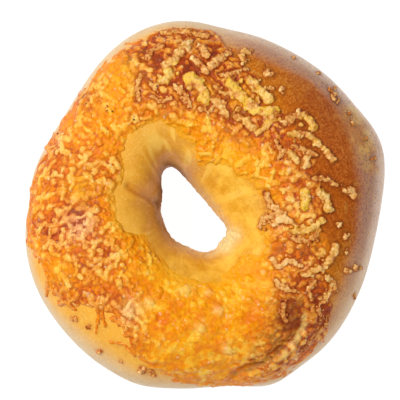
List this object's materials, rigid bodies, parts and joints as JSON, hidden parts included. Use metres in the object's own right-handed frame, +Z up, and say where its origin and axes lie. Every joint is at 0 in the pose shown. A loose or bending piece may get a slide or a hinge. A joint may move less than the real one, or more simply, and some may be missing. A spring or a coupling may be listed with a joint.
{
  "type": "bagel",
  "caption": "Round baked bagel with an off-centre hole, a flat base, a pressed dough join and grated cheese melted and toasted over its upper side.",
  "frame": {"origin": "middle of the bagel's outline, on the plane that its flat base rests on", "axes": "+Z up, through the hole; the pressed join of the dough lies towards +X and -Y"},
  "size_m": [0.115, 0.117, 0.0443],
  "materials": {
    "baked_crust": "satin",
    "melted_cheese": "satin"
  },
  "bodies": {
    "root": {"bagel": "baked_crust"}
  },
  "joints": []
}
